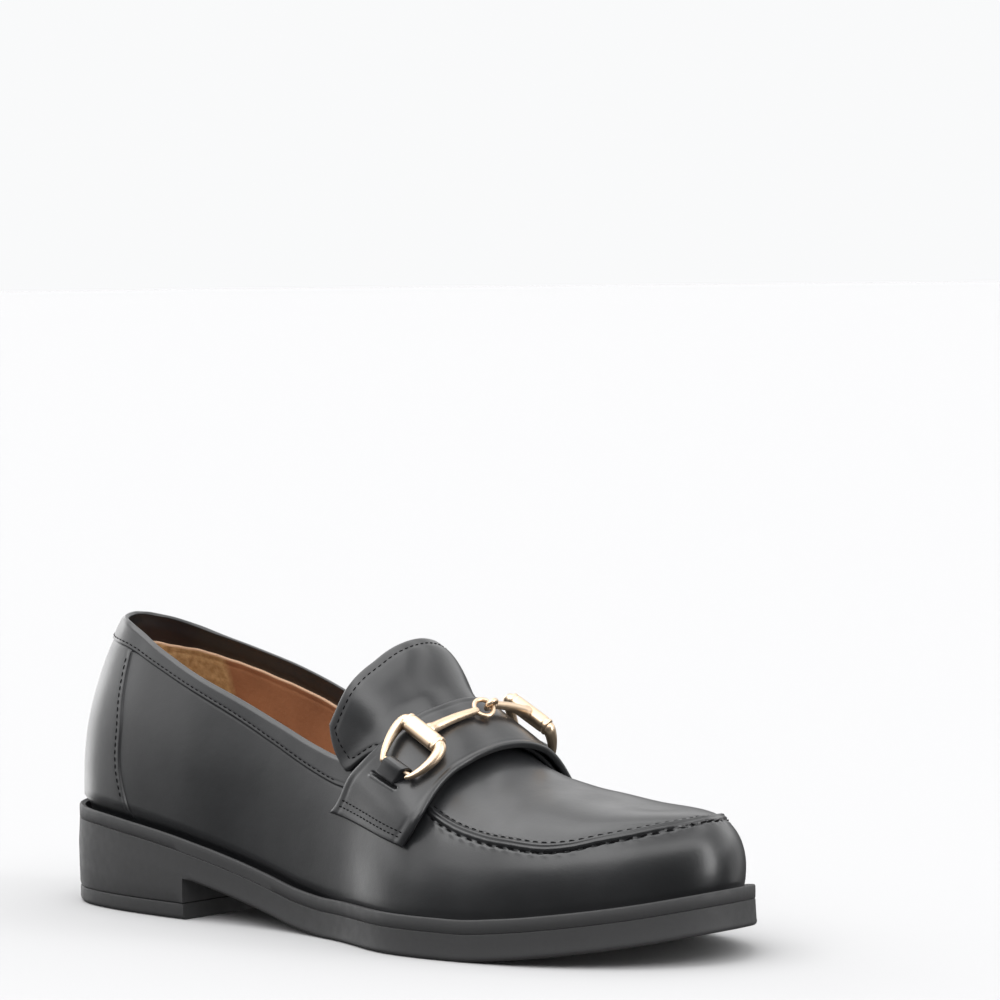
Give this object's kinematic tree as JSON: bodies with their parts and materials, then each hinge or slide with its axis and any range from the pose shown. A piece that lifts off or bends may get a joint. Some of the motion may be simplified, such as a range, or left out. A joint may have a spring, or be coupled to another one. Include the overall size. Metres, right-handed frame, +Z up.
{
  "type": "leather loafer",
  "caption": "Right-foot leather loafer with a moc-toe plug, raised tongue, saddle strap with a metal snaffle, welted sole and block heel.",
  "frame": {"origin": "on the floor, under the middle of the box round the outsole", "axes": "+X to the toe, +Y to the inner (medial) side of the foot, +Z up"},
  "size_m": [0.26, 0.094, 0.0931],
  "materials": {
    "sole_rubber": "matt moulded rubber, near black",
    "lining_leather": "tan lining leather with a suede heel grip",
    "upper_leather": "smooth black leather with a soft polish",
    "snaffle_metal": "polished pale gilt"
  },
  "bodies": {
    "root": {"heel_top_lift": "sole_rubber", "outsole": "sole_rubber", "welt": "sole_rubber", "insole": "lining_leather", "upper": "upper_leather", "tongue": "upper_leather", "saddle_strap": "upper_leather", "bit_tab_lateral": "upper_leather", "bit_tab_medial": "upper_leather", "bit_half_lateral": "snaffle_metal", "bit_half_medial": "snaffle_metal"}
  },
  "joints": []
}
